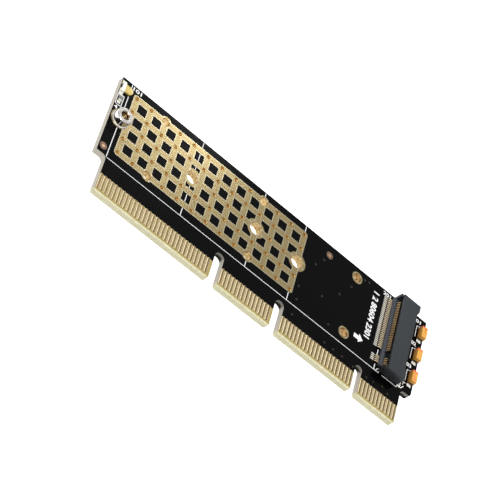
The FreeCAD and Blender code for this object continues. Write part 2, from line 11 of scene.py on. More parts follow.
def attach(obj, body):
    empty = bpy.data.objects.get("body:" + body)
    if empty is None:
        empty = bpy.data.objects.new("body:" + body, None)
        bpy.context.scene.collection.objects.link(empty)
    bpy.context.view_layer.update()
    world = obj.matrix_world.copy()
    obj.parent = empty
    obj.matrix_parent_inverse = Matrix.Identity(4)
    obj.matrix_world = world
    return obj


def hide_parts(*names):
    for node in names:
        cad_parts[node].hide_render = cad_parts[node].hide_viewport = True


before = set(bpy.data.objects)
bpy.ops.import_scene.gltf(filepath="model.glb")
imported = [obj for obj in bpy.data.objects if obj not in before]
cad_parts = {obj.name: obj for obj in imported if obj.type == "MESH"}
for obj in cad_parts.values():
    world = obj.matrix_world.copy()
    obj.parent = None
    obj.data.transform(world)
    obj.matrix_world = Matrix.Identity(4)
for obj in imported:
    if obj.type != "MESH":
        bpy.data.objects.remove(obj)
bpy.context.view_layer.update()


# Camera, floor and lights
# The card hangs over a plain white floor and is seen from its left end, a little from above. The
# ceiling fills the flat faces but isn't mirrored in the metal, the gleam panel is only mirrored,
# the panels behind the card give the lattice its sheen, and the window lights the cut edges.

# The lens and the camera's place and turn are those of the photograph, fitted to the contact edges
camera = bpy.data.objects.new("camera", bpy.data.cameras.new("camera"))
bpy.context.collection.objects.link(camera)
camera.data.lens = 162.08
camera.data.sensor_width = 36
camera.data.clip_start = 0.01
camera.data.clip_end = 20
camera.matrix_world = Matrix((
    (0.72292, -0.57721, -0.37975, -0.18080),
    (0.21251, 0.70873, -0.67271, -0.31453),
    (0.65744, 0.40561, 0.63502, 0.29726),
    (0, 0, 0, 1),
))
bpy.context.scene.camera = camera
bpy.context.scene.view_settings.view_transform = "Standard"

world = bpy.data.worlds.new("studio")
bpy.context.scene.world = world
world.use_nodes = True
world.node_tree.nodes["Background"].inputs["Color"].default_value = (0.98, 0.99, 1.0, 1)
world.node_tree.nodes["Background"].inputs["Strength"].default_value = 0.42


def soft_light(name, place, target, width, height, strength):
    """A light panel that faces its target."""
    lamp = bpy.data.lights.new(name, "AREA")
    lamp.shape = "RECTANGLE"
    lamp.size = width
    lamp.size_y = height
    lamp.energy = strength
    panel = bpy.data.objects.new(name, lamp)
    bpy.context.collection.objects.link(panel)
    panel.location = place
    panel.visible_camera = False
    panel.rotation_mode = "QUATERNION"
    panel.rotation_quaternion = (Vector(target) - Vector(place)).to_track_quat("-Z", "Y")
    return panel


card_middle = (0, 0, 0)
lattice_top = (-0.026, 0.0145, 0.0)
ceiling = soft_light("ceiling", (0.0, 0.0, 0.55), card_middle, width=0.45, height=0.45, strength=2.9)
ceiling.visible_glossy = False
gleam = soft_light("gleam", (-0.17, -0.24, 0.50), card_middle, width=0.24, height=0.24, strength=0.83)
gleam.visible_diffuse = False
soft_light("back_panel", (0.0337, 0.1517, 0.1037), lattice_top, width=0.032, height=0.019, strength=0.0090)
soft_light("high_panel", (-0.03, 0.40, 0.45), card_middle, width=0.22, height=0.22, strength=0.28)
soft_light("left_back_panel", (-0.45, 0.48, 0.27), card_middle, width=0.30, height=0.30, strength=0.3)
soft_light("window", (-0.55, -0.28, 0.14), card_middle, width=0.35, height=0.35, strength=0.5)


def clear_choice():
    """Leaves nothing selected, so that the next operator acts on one piece only."""
    if bpy.context.object and bpy.context.object.mode != "OBJECT":
        bpy.ops.object.mode_set(mode="OBJECT")
    bpy.ops.object.select_all(action="DESELECT")


def fill(node, values):
    """Sets a node's inputs, by name or number, to plain values or to the outputs of other nodes."""
    for name, value in values.items():
        if isinstance(value, bpy.types.NodeSocket):
            node.id_data.links.new(value, node.inputs[name])
        else:
            node.inputs[name].default_value = value


def add_node(tree, kind, values=(), **settings):
    """A new node with its settings and its inputs."""
    made = tree.nodes.new(kind)
    for name, setting in settings.items():
        setattr(made, name, setting)
    fill(made, dict(values))
    return made


def ranged(tree, value, low, high, to_low=0.0, to_high=1.0):
    """Stretches the range from low to high over another one and holds the value at its ends."""
    step = add_node(tree, "ShaderNodeMapRange", {
        "Value": value, "From Min": low, "From Max": high, "To Min": to_low, "To Max": to_high,
    })
    return step.outputs["Result"]


floor_level = -0.055
clear_choice()
bpy.ops.mesh.primitive_plane_add(size=6, location=(0, 0, floor_level))
floor = bpy.context.object
floor.name = "floor"
floor_paint = bpy.data.materials.new("floor_paint")
floor_paint.use_nodes = True
tree = floor_paint.node_tree
# The floor is white to the camera, and lights the card a little less than that
glow_seen, glow_on_card = 0.95, 0.62
ray = add_node(tree, "ShaderNodeLightPath")
fill(tree.nodes["Principled BSDF"], {
    "Base Color": (0.55, 0.55, 0.55, 1),
    "Roughness": 0.9,
    "Specular IOR Level": 0.0,
    "Emission Color": (1, 1, 1, 1),
    "Emission Strength": ranged(tree, ray.outputs["Is Diffuse Ray"], 0.0, 1.0, glow_seen, glow_on_card),
})
floor.data.materials.append(floor_paint)


# Circuit board
# A laminate of glass cloth and resin, 1.6 mm thick, cut and bevelled by a router, under a coat of
# satin black solder mask that stops short of the contact edge. The holes are plated through.

mm = 0.001
# Places up the card: its foot, where the mask starts and where the bevelled foot ends
foot = -15.59 * mm
mask_start = foot + 4.78 * mm
bevel_top = foot + 0.9 * mm
# Ends of the four groups of edge contacts along the card, in millimetres
group_ends = ((-42.14, -12.14), (-9.14, 4.86), (7.86, 28.86), (30.86, 41.86))


def maths(tree, operation, *values):
    """What a node works out from numbers and the outputs of other nodes."""
    return add_node(tree, "ShaderNodeMath", dict(enumerate(values)), operation=operation).outputs[0]


def product(tree, first, second):
    return maths(tree, "MULTIPLY", first, second)


def threshold(tree, output, edge, softness, above=True):
    """A mask that is 1 on one side of an edge and 0 on the other."""
    ends = (0, 1) if above else (1, 0)
    return ranged(tree, output, edge - softness, edge + softness, *ends)


def between(tree, output, low, high, softness):
    """A mask that is 1 between two edges."""
    past_low = threshold(tree, output, low, softness)
    return product(tree, past_low, threshold(tree, output, high, softness, above=False))


def laid_over(tree, below, above, mask):
    """The upper colour where the mask is 1, the lower one elsewhere, and a mix of them between."""
    below, above = ((*tone, 1) if isinstance(tone, tuple) else tone for tone in (below, above))
    over = add_node(tree, "ShaderNodeMix", {"Factor": mask, "A": below, "B": above}, data_type="RGBA")
    return over.outputs["Result"]


def laid_value(tree, below, above, mask):
    """The same for a value that isn't a colour."""
    over = add_node(tree, "ShaderNodeMix", {"Factor": mask, "A": below, "B": above}, data_type="FLOAT")
    return over.outputs["Result"]


grain = bpy.data.node_groups.new("surface_grain", "ShaderNodeTree")
for name, way, kind in (
    ("Vector", "INPUT", "Vector"), ("Scale", "INPUT", "Float"), ("Fine", "INPUT", "Float"),
    ("Tone", "OUTPUT", "Float"), ("Height", "OUTPUT", "Float"),
):
    grain.interface.new_socket(name, in_out=way, socket_type="NodeSocket" + kind)
given = add_node(grain, "NodeGroupInput").outputs
finer = product(grain, given["Scale"], given["Fine"])
place = given["Vector"]
broad = add_node(grain, "ShaderNodeTexNoise", {"Vector": place, "Scale": given["Scale"], "Detail": 3})
close = add_node(grain, "ShaderNodeTexNoise", {"Vector": place, "Scale": finer, "Detail": 2})
broad_share, close_share = 0.55, 0.45
close_tone = product(grain, close.outputs["Fac"], close_share)
tone = maths(grain, "MULTIPLY_ADD", broad.outputs["Fac"], broad_share, close_tone)
add_node(grain, "NodeGroupOutput", {"Tone": tone, "Height": close.outputs["Fac"]})


def new_finish(name, dark, light, metallic, roughness, scale,
               fine=6.0, bump=0.15, depth=0.02 * mm, stretch=(1, 1, 1), spread=0.25):
    """A material whose colour runs from dark to light with its grain, rougher where it is darker."""
    rougher, smoother = 0.08, 0.06
    made = bpy.data.materials.new(name)
    made.use_nodes = True
    tree = made.node_tree
    place = add_node(tree, "ShaderNodeTexCoord").outputs["Object"]
    turn = add_node(tree, "ShaderNodeMapping", {"Vector": place, "Scale": stretch}).outputs["Vector"]
    texture = add_node(tree, "ShaderNodeGroup", node_tree=grain)
    fill(texture, {"Vector": turn, "Scale": scale, "Fine": fine})
    contrast = ranged(tree, texture.outputs["Tone"], 0.5 - spread, 0.5 + spread)
    relief = add_node(tree, "ShaderNodeBump", {
        "Height": texture.outputs["Height"], "Strength": bump, "Distance": depth,
    })
    fill(tree.nodes["Principled BSDF"], {
        "Base Color": laid_over(tree, dark, light, contrast),
        "Metallic": metallic,
        "Roughness": ranged(tree, contrast, 0.0, 1.0, roughness + rougher, roughness - smoother),
        "Normal": relief.outputs["Normal"],
    })
    return made


def open_up(finish):
    """A finish's node tree, its shader, the place on the card and that place's three axes."""
    tree = finish.node_tree
    where = add_node(tree, "ShaderNodeTexCoord").outputs["Object"]
    axes = add_node(tree, "ShaderNodeSeparateXYZ", {"Vector": where}).outputs
    return tree, tree.nodes["Principled BSDF"], where, axes


def feeding(shader, name):
    """The output that is joined to an input of the shader."""
    return shader.inputs[name].links[0].from_socket


def paint_over(shader, colour, mask):
    """Lays a colour over the shader's own where the mask is 1."""
    below = feeding(shader, "Base Color")
    fill(shader, {"Base Color": laid_over(shader.id_data, below, colour, mask)})


def stripes(tree, where, axis, values):
    """Soft bands that follow one another along an axis."""
    made = add_node(tree, "ShaderNodeTexWave", values, wave_type="BANDS", bands_direction=axis)
    fill(made, {"Vector": where})
    return made.outputs["Fac"]


def paint_node(node, finish):
    """Gives a solid of the frame its finish."""
    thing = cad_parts[node]
    thing.data.materials.clear()
    thing.data.materials.append(finish)


board_finish = new_finish(
    "board_finish", (0.0004, 0.0004, 0.0005), (0.0012, 0.0012, 0.0013), 0.0, 0.20, 220, fine=14, bump=0.05
)
tree, shader, where, axes = open_up(board_finish)
shader.inputs["Specular IOR Level"].default_value = 0.09
facing = add_node(tree, "ShaderNodeNewGeometry").outputs["True Normal"]
normal = add_node(tree, "ShaderNodeSeparateXYZ", {"Vector": facing}).outputs
levelness = maths(tree, "ABSOLUTE", normal["Z"])
nearly_level, nearly_upright = 0.98, 0.5
flat_face = threshold(tree, levelness, nearly_level, 0.005)
above_bare = threshold(tree, axes["Y"], mask_start, 0.04 * mm)
masked = product(tree, flat_face, above_bare)

# Bare laminate: cream glass cloth whose layers show as fine lines along the cut walls
cloth_scale = 620.0
ply_lines = {"Scale": cloth_scale, "Distortion": 2.5, "Detail": 3.0, "Detail Scale": 0.6}
plies = stripes(tree, where, "Z", ply_lines)
fibres = add_node(
    tree, "ShaderNodeTexNoise", {"Vector": where, "Scale": 2100.0, "Detail": 3.0, "Distortion": 0.8}
).outputs["Fac"]
ply_share, fibre_share = 0.26, 0.80
layers = maths(tree, "MULTIPLY_ADD", plies, ply_share, product(tree, fibres, fibre_share))
cut_tone = laid_over(tree, (0.43, 0.39, 0.32), (0.67, 0.63, 0.56), layers)
threads = {"Scale": cloth_scale, "Distortion": 0.4}
weave = product(tree, stripes(tree, where, "X", threads), stripes(tree, where, "Y", threads))
# Between the contacts the cloth shows, and beside each group and below it the face is plain olive
below_strips = threshold(tree, axes["Y"], bevel_top, 0.02 * mm, above=False)
in_groups = 0.0
for left, right in group_ends:
    in_groups = maths(tree, "MAXIMUM", in_groups, between(tree, axes["X"], left * mm, right * mm, 0.02 * mm))
between_tone = laid_over(tree, (0.33, 0.25, 0.13), (0.46, 0.36, 0.21), weave)
olive_tone = laid_over(tree, (0.30, 0.23, 0.075), (0.42, 0.34, 0.14), fibres)
beside_strips = laid_over(tree, olive_tone, between_tone, in_groups)
bare_tone = laid_over(tree, beside_strips, olive_tone, below_strips)
# The bevelled foot is given a brighter, greener tone than the other walls
bevel_tone = laid_over(tree, (0.46, 0.42, 0.19), (0.90, 0.87, 0.68), layers)
cut_or_bevel = laid_over(tree, cut_tone, bevel_tone, below_strips)
# Painted shade: walls that face the foot, except at the left ear, are painted dark, darkest towards the back
# face
faces_foot = threshold(tree, normal["Y"], -0.42, 0.22, above=False)
right_of_ear = threshold(tree, axes["X"], -38 * mm, 0.1 * mm)
shade_fade = ranged(tree, axes["Z"], 0.75 * mm, 1.15 * mm)
painted_shade_tone = laid_over(tree, (0.012, 0.010, 0.007), (0.26, 0.25, 0.225), shade_fade)
painted_shade_mask = product(tree, product(tree, faces_foot, above_bare), right_of_ear)
cut_bevel_shaded = laid_over(tree, cut_or_bevel, painted_shade_tone, painted_shade_mask)
laminate = laid_over(tree, cut_bevel_shaded, bare_tone, flat_face)

# Plating on the walls of the holes, which all lie clear of the outline. It is lighter in the holes
# above the drive and darker in those beside the socket.
any_wall = threshold(tree, levelness, nearly_upright, 0.005, above=False)
from_ends = threshold(tree, maths(tree, "ABSOLUTE", axes["X"]), 44.4 * mm, 0.01 * mm, above=False)
from_sides = between(tree, axes["Y"], -5.0 * mm, 15.0 * mm, 0.01 * mm)
plated = product(tree, product(tree, any_wall, from_ends), from_sides)
flecks = ranged(tree, fibres, 0.38, 0.62)
gold_wall = laid_over(tree, (0.25, 0.155, 0.05), (0.52, 0.38, 0.19), flecks)
light_wall = laid_over(tree, (0.33, 0.205, 0.065), (0.68, 0.50, 0.25), flecks)
dark_wall = laid_over(tree, (0.14, 0.065, 0.02), (0.50, 0.32, 0.14), flecks)
above_drive = threshold(tree, axes["Y"], 9.0 * mm, 0.1 * mm)
by_socket = threshold(tree, axes["X"], 15 * mm, 0.1 * mm)
gold_or_light = laid_over(tree, gold_wall, light_wall, above_drive)
all_walls = laid_over(tree, gold_or_light, dark_wall, by_socket)
bare_or_mask = laid_over(tree, laminate, feeding(shader, "Base Color"), masked)
bare_or_mask_gloss = laid_value(tree, 0.7, feeding(shader, "Roughness"), masked)
fill(shader, {
    "Base Color": laid_over(tree, bare_or_mask, all_walls, plated),
    "Roughness": laid_value(tree, bare_or_mask_gloss, 0.3, plated),
    "Metallic": plated,
})
paint_node("circuit_board", board_finish)


# Vias under the mask
# Drilled and plated holes that join the copper layers, closed by the mask, so that each shows only
# as a low ring with a dimple. They stand where the traces to the drive change layer.

# Height of the board's front face
face = 1.62 * mm
via_places = (
    (25.96, 13.81), (27.26, 14.11), (22.96, 9.41), (20.46, 5.31), (19.56, -4.19), (19.76, -9.19),
    (22.36, -9.19), (24.96, -9.19), (9.9, -0.69), (10.26, -4.19), (10.16, -8.59), (28.3, -9.6),
    (30.3, -9.5), (32.3, -9.6), (34.3, -9.4), (36.9, -8.8), (38.6, -9.6), (14.4, 10.6), (12.6, 7.9),
    (16.2, 1.4),
)
mask_finish = new_finish(
    "mask_over_copper", (0.007, 0.005, 0.003), (0.020, 0.014, 0.008), 0.0, 0.30, 900, bump=0.1
)


def finish_piece(piece, name, finish, smooth=None):
    """Names the piece, gives it its finish and lets it ride on the card."""
    clear_choice()
    piece.select_set(True)
    bpy.context.view_layer.objects.active = piece
    bpy.ops.object.transform_apply(location=True, rotation=True, scale=True)
    if smooth is not None:
        bpy.ops.object.shade_smooth_by_angle(angle=math.radians(smooth))
    piece.name = name
    piece.data.name = name
    piece.data.materials.clear()
    piece.data.materials.append(finish)
    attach(piece, "root")
    return piece


def join_pieces(pieces):
    """Makes one mesh of several."""
    clear_choice()
    for piece in pieces:
        piece.select_set(True)
    bpy.context.view_layer.objects.active = pieces[0]
    bpy.ops.object.join()
    return bpy.context.object


def choose_faces(test):
    """Selects the faces of the active piece that pass the test, ready to be edited."""
    bpy.ops.object.mode_set(mode="OBJECT")
    mesh = bpy.context.object.data
    for thing in list(mesh.vertices) + list(mesh.edges) + list(mesh.polygons):
        thing.select = False
    for part in mesh.polygons:
        part.select = test(part)
    bpy.ops.object.mode_set(mode="EDIT")
    bpy.ops.mesh.select_mode(type="FACE")


def step_top(steps):
    """Insets the new piece's top face again and again, and lifts or sinks it after each inset."""
    choose_faces(lambda part: part.normal.z > 0.9)
    for inset, lift in steps:
        bpy.ops.mesh.inset(thickness=inset)
        if lift:
            bpy.ops.transform.translate(value=(0, 0, lift))
    bpy.ops.object.mode_set(mode="OBJECT")
    return bpy.context.object


def ring_with_dimple(x, y, level, outer, inner, rise, sides=16):
    """A low round ring round a shallow dimple, turned up from a disc."""
    clear_choice()
    foot_height = rise * 0.3
    bpy.ops.mesh.primitive_cylinder_add(
        vertices=sides, radius=outer, depth=foot_height, location=(x * mm, y * mm, level + foot_height / 2)
    )
    wall = outer - inner
    shoulder = (wall * 0.35, rise * 0.7)
    crown = (wall * 0.4, 0)
    dimple = (wall * 0.25, -rise * 0.8)
    return step_top((shoulder, crown, dimple))


tented = [ring_with_dimple(x, y, face, 0.3 * mm, 0.13 * mm, 0.02 * mm) for x, y in via_places]
finish_piece(join_pieces(tented), "covered_vias", mask_finish, smooth=40)


# Edge contacts
# Copper strips on both faces of the tongue, electroplated with nickel and hard gold. Etching and
# plating leave each with sloping flanks and a rounded top end, and the plating is finely brushed.

contact_gold = new_finish(
    "hard_gold", (0.35, 0.25, 0.106), (0.57, 0.417, 0.20), 1.0, 0.38, 700,
    fine=5, bump=0.2, depth=0.01 * mm, stretch=(5, 0.5, 1),
)
tree, shader, where, axes = open_up(contact_gold)


def off_middle(tree, value):
    """How far a value lies from halfway between its two whole numbers."""
    return maths(tree, "ABSOLUTE", maths(tree, "SUBTRACT", maths(tree, "FRACT", value), 0.5))


# Painted highlight: a bright, less metallic tone along the edges of each strip stands in for the light
# caught by its flanks. The strips stand one millimetre apart, and the shift brings each one's middle to a
# half.
strip_shift = 1000.14
aside = off_middle(tree, maths(tree, "MULTIPLY_ADD", axes["X"], 1 / mm, strip_shift))
painted_edge_highlight = threshold(tree, aside, 0.25, 0.05)
paint_over(shader, (0.95, 0.82, 0.53), painted_edge_highlight)
fill(shader, {"Metallic": laid_value(tree, 1.0, 0.45, painted_edge_highlight)})
# First and last contact of each group
contact_runs = {"x1": (1, 11), "x4": (12, 32), "x8": (36, 49), "x16": (53, 82)}
key_notch = 29.86
notch_to_contact = 1.5
copper = 0.05 * mm
copper_top = face + copper
strip_half = 0.36 * mm
strip_low = bevel_top
strip_high = foot + 5.0 * mm
strip_corner = 0.3 * mm
strip_flank = 0.14 * mm


def contact_place(number):
    """Middle of a contact along the card, counted from the right across the key notch."""
    if number < 12:
        return (key_notch + notch_to_contact + 11 - number) * mm
    return (key_notch - notch_to_contact + 12 - number) * mm


def bevel_edges(test, width, segments):
    """Bevels the edges of the active piece whose two ends pass the test."""
    mesh = bpy.context.object.data
    bpy.ops.object.mode_set(mode="EDIT")
    bpy.ops.mesh.select_all(action="DESELECT")
    bpy.ops.mesh.select_mode(type="EDGE")
    bpy.ops.object.mode_set(mode="OBJECT")
    for edge in mesh.edges:
        edge.select = test(*(mesh.vertices[i].co for i in edge.vertices))
    bpy.ops.object.mode_set(mode="EDIT")
    bpy.ops.mesh.bevel(offset=width, segments=segments, affect="EDGES")


def contact_strip(outer, inner):
    """One strip whose flanks slope from the laminate (inner) up to the plated face (outer)."""
    clear_choice()
    middle = (strip_low + strip_high) / 2
    bpy.ops.mesh.primitive_cube_add(size=1, location=(0, middle, (outer + inner) / 2))
    bpy.ops.transform.resize(value=(2 * strip_half, strip_high - strip_low, copper))
    bpy.ops.object.transform_apply(location=True, rotation=True, scale=True)
    mesh = bpy.context.object.data
    bevel_edges(lambda a, b: abs(a.z - b.z) > copper / 2 and a.y > middle, strip_corner, 4)
    choose_faces(lambda part: part.normal.z * (outer - inner) > 0 and abs(part.normal.z) > 0.9)
    bpy.ops.mesh.inset(thickness=strip_flank)
    bpy.ops.object.mode_set(mode="OBJECT")
    # The rim round the plated face drops to a tenth of the copper's thickness, which slopes the flanks
    raised = {i for part in mesh.polygons if part.select for i in part.vertices}
    for point in mesh.vertices:
        if abs(point.co.z - outer) < 0.001 * mm and point.index not in raised:
            point.co.z = inner + (outer - inner) * 0.1
    return bpy.context.object


def copies_at(pattern, places):
    """Copies of a piece, each with its own mesh, moved to each place."""
    copies = []
    for place in places:
        copy = pattern.copy()
        copy.data = pattern.data.copy()
        copy.location = place
        bpy.context.collection.objects.link(copy)
        copies.append(copy)
    return copies


for side, outer, inner in (("front", copper_top, face), ("back", 0.0, copper)):
    pattern = contact_strip(outer, inner)
    for group, (first, last) in contact_runs.items():
        strips = copies_at(pattern, [(contact_place(number), 0, 0) for number in range(first, last + 1)])
        run_name = "%s_edge_contacts_%s" % (side, group)
        run = finish_piece(join_pieces(strips), run_name, contact_gold, smooth=10)
        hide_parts("%s_contacts_%s" % (side, group))
    bpy.data.objects.remove(pattern)


# Copper lattice, hole lands and alignment marks
# The lattice carries the drive's heat into the board. It is copper left free of mask and dipped in
# gold, with a painted highlight along its rims where etching would round them. The two alignment
# marks are bare copper.

# The drive lies along its centre line against the end stop in its socket, and has a fixing for each
# length in which it is made. These places and sizes are in millimetres.
drive_line = 4.83
end_stop = 37.83
fixings = [end_stop - length for length in (80, 60, 42, 30)]
side_columns = (23.83, -4.17, -32.17)
side_rows = (drive_line + 8, drive_line - 8)
# The lattice is laid out from its first crossing
columns, rows = 13, 5
crossing_step = 4.0
first_x, first_y = -40.17, drive_line - 8.0
opening_half = 1.15
lattice_middle = -16.17
half_length, half_height = 24.85, 8.85
# Outer and inner radius of the lands, and how far the vias keep from the holes
fixing_land, fixing_bore = 2.35, 1.55
side_land, side_bore = 1.475, 1.05
clear_of_fixing, clear_of_side_hole = 2.5, 1.6

lattice_gold = new_finish(
    "immersion_gold", (0.645, 0.495, 0.232), (0.765, 0.612, 0.320), 1.0, 0.23, 800,
    fine=2.2, bump=0.014, spread=0.22,
)
tree, shader, where, axes = open_up(lattice_gold)
# Painted highlight: a narrow band round each opening, measured in steps from crossing to crossing,
# is painted brighter
per_step = 1 / (crossing_step * mm)
step_place = add_node(tree, "ShaderNodeMapping", {
    "Vector": where,
    "Location": (-first_x / crossing_step, -first_y / crossing_step, 0),
    "Scale": (per_step, per_step, 0),
}).outputs["Vector"]
steps = add_node(tree, "ShaderNodeSeparateXYZ", {"Vector": step_place}).outputs
farthest = maths(tree, "MAXIMUM", off_middle(tree, steps["X"]), off_middle(tree, steps["Y"]))
opening_edge = opening_half / crossing_step
opening_highlight = product(
    tree,
    threshold(tree, farthest, opening_edge + 0.05, 0.025, above=False),
    threshold(tree, farthest, opening_edge - 0.02, 0.01),
)
# So is a band inside the lattice's own outline, also a painted highlight
outline = []
for axis, middle, half in (("X", lattice_middle, half_length), ("Y", drive_line, half_height)):
    away = maths(tree, "ABSOLUTE", maths(tree, "SUBTRACT", axes[axis], middle * mm))
    outline.append(product(
        tree,
        threshold(tree, away, (half - 0.14) * mm, 0.03 * mm),
        threshold(tree, away, (half + 0.04) * mm, 0.02 * mm, above=False),
    ))
any_painted_highlight = maths(tree, "MAXIMUM", maths(tree, "MAXIMUM", *outline), opening_highlight)
paint_over(shader, (0.97, 0.86, 0.58), any_painted_highlight)
for node in ("copper_lattice", "side_hole_lands"):
    paint_node(node, lattice_gold)

mark_places = ((15.46, 12.81), (-43.6, -4.23))
mark_ground = new_finish("mark_ground", (0.20, 0.115, 0.075), (0.33, 0.205, 0.14), 0.6, 0.40, 1600, bump=0.3)
paint_node("alignment_marks", mark_ground)
bare_copper = new_finish(
    "bare_copper", (0.82, 0.52, 0.30), (1.0, 0.76, 0.50), 1.0, 0.34, 1600, bump=0.2, depth=0.01 * mm
)
mark_discs = [
    ring_with_dimple(x, y, copper_top, 0.36 * mm, 0.2 * mm, 0.02 * mm, sides=24) for x, y in mark_places
]
finish_piece(join_pieces(mark_discs), "alignment_mark_centres", bare_copper, smooth=40)

# Vias at the crossings of the lattice that no hole takes up, each a gold ring round a copper cup
crossings = []
for column in range(columns):
    for row in range(rows):
        x, y = first_x + crossing_step * column, first_y + crossing_step * row
        to_fixing = min(math.hypot(x - fixing, y - drive_line) for fixing in fixings)
        to_side = min(math.hypot(x - hole, y - level) for hole in side_columns for level in side_rows)
        if to_fixing >= clear_of_fixing and to_side >= clear_of_side_hole:
            crossings.append((x, y))
via_copper = new_finish(
    "via_copper", (0.36, 0.125, 0.008), (0.72, 0.33, 0.035), 1.0, 0.27, 3000, bump=0.2, depth=0.01 * mm
)
tree, shader, where, axes = open_up(via_copper)
above_cup = copper_top + 0.052 * mm
paint_over(shader, (0.84, 0.70, 0.42), threshold(tree, axes["Z"], above_cup, 0.006 * mm))


def via_cup(x, y):
    """A plated via: a low rounded collar round a cup, whose wall slopes down to a dished floor."""
    clear_choice()
    foot_height = 0.02 * mm
    bpy.ops.mesh.primitive_cylinder_add(
        vertices=16, radius=0.47 * mm, depth=foot_height,
        location=(x * mm, y * mm, copper_top + foot_height / 2),
    )
    collar = (0.03 * mm, 0.05 * mm)
    collar_top = (0.02 * mm, 0)
    cup_wall = (0.065 * mm, -0.052 * mm)
    cup_floor = (0.17 * mm, -0.008 * mm)
    return step_top((collar, collar_top, cup_wall, cup_floor))


cups = [via_cup(x, y) for x, y in crossings]
finish_piece(join_pieces(cups), "lattice_vias", via_copper, smooth=50)

# Lands on the back round every hole: the drive's fixings and the side holes
back_rings = [(fixing, drive_line, fixing_land, fixing_bore) for fixing in fixings]
back_rings += [(hole, level, side_land, side_bore) for hole in side_columns for level in side_rows]
back_land_thick = 0.045
back_lands = []
for x, y, outer, bore in back_rings:
    clear_choice()
    bpy.ops.mesh.primitive_cylinder_add(
        vertices=40, radius=outer * mm, depth=back_land_thick * mm,
        location=(x * mm, y * mm, copper - back_land_thick / 2 * mm),
    )
    choose_faces(lambda part: abs(part.normal.z) > 0.9)
    bpy.ops.mesh.inset(thickness=(outer - bore) * mm)
    bpy.ops.mesh.bridge_edge_loops()
    bpy.ops.object.mode_set(mode="OBJECT")
    back_lands.append(bpy.context.object)
finish_piece(join_pieces(back_lands), "back_hole_lands", lattice_gold, smooth=30)


# White ink
# Lines, an arrow and plain numbers, printed on the mask after it has cured. The ink is matt, thin
# enough to let a little of the black through, and its line ends are rounded by the screen.

ink = new_finish(
    "white_ink", (0.74, 0.74, 0.74), (0.90, 0.90, 0.90), 0.0, 0.62, 2500,
    fine=4, bump=0.3, depth=0.01 * mm, spread=0.18,
)
ink_thick = 0.014 * mm
# A line that crosses another lies over it, by a hair
over = ink_thick + 0.002 * mm


def ink_bar(x0, y0, x1, y1, width=0.18, thick=ink_thick):
    """A printed line from one point to another, with rounded ends."""
    clear_choice()
    run = Vector((x1 - x0, y1 - y0, 0))
    bpy.ops.mesh.primitive_cube_add(
        size=1,
        location=((x0 + x1) / 2 * mm, (y0 + y1) / 2 * mm, face + thick / 2),
        rotation=(0, 0, math.atan2(run.y, run.x)),
        scale=((run.length + width * 0.5) * mm, width * mm, thick),
    )
    bpy.ops.object.transform_apply(location=True, rotation=True, scale=True)
    bevel_edges(lambda a, b: abs(a.z - b.z) > thick / 2, width * 0.3 * mm, 2)
    bpy.ops.object.mode_set(mode="OBJECT")
    return bpy.context.object


guide_y, stepped_y, step_x = -6.26, -5.59, 40.46
long_end_x = -42.18
shell_x = 33.62
frame_left, frame_right, frame_top, frame_bottom = -44.58, -43.05, 10.86, 7.9
thin = 0.15
bars = [
    # Guide line along the card, broken and stepped beside the socket
    ink_bar(-41.94, guide_y, 35.06, guide_y, thin),
    ink_bar(36.06, guide_y, step_x, guide_y, thin),
    ink_bar(step_x, guide_y, step_x, stepped_y, thin, over),
    ink_bar(step_x, stepped_y, 41.70, stepped_y),
    ink_bar(41.70, stepped_y, 42.30, -4.70, 0.2, over),
    # Line across the card at the longest drive's end
    ink_bar(long_end_x, -6.2, long_end_x, 2.35, thick=over),
    ink_bar(long_end_x, 7.35, long_end_x, 11.7),
    ink_bar(long_end_x, 14.1, long_end_x, 15.35),
]
# Lines at the ends of the shorter drives
for x in fixings[1:]:
    bars += [ink_bar(x, 13.85, x, 15.35), ink_bar(x, -6.1, x, -4.15, thick=over)]
for low, high in ((-2.15, -0.15), (1.85, 2.35), (7.3, 7.85), (9.85, 11.85)):
    bars.append(ink_bar(fixings[1], low, fixings[1], high))
bars += [
    # Outline of the socket and its corner mark
    ink_bar(shell_x, -6.1, shell_x, -4.75, 0.2, over),
    ink_bar(shell_x, -2.2, shell_x, -0.75, 0.2),
    ink_bar(shell_x, 14.0, shell_x, 15.2, 0.2),
    ink_bar(34.2, -6.0, 34.7, -5.3, 0.2),
    ink_bar(34.7, -5.3, 35.1, -6.0, 0.2, over),
    # Frame round the resistor
    ink_bar(-44.5, frame_top, frame_right, frame_top),
    ink_bar(frame_right, 10.8, frame_right, 7.95, thick=over),
    ink_bar(frame_right, frame_bottom, -44.5, frame_bottom),
    ink_bar(frame_left, 10.8, frame_left, 7.95, thick=over),
]
# Brackets beside the capacitors
cap_rows = (11.12, 4.70, -1.72)
bracket_x = 42.35
for y in cap_rows:
    top, bottom = y + 1.9, y - 1.2
    bars.append(ink_bar(bracket_x, top, bracket_x, bottom, thin))
    bars.append(ink_bar(bracket_x, top, bracket_x + 0.4, top, thin, over))
bars += [ink_bar(42.0, -4.4, 42.0, -3.6, 0.16), ink_bar(42.0, -3.6, 42.6, -3.6, 0.16, over)]
finish_piece(join_pieces(bars), "ink_lines", ink)


def ink_outline(name, points):
    """A filled printed shape: a flat plate whose corners are moved to the points."""
    clear_choice()
    bpy.ops.mesh.primitive_circle_add(vertices=len(points), fill_type="NGON")
    shape = bpy.context.object
    for corner, (x, y) in zip(shape.data.vertices, points):
        corner.co = (x * mm, y * mm, face)
    bpy.ops.object.mode_set(mode="EDIT")
    bpy.ops.mesh.select_all(action="SELECT")
    bpy.ops.mesh.extrude_region_move(TRANSFORM_OT_translate={"value": (0, 0, ink_thick)})
    bpy.ops.mesh.select_all(action="SELECT")
    bpy.ops.mesh.normals_make_consistent(inside=False)
    bpy.ops.object.mode_set(mode="OBJECT")
    return finish_piece(shape, name, ink)


ink_outline("ink_arrow", [
    (26.50, -1.10), (27.90, -1.10), (27.90, -0.45), (29.15, -1.62),
    (27.90, -2.80), (27.90, -2.18), (26.50, -2.18),
])


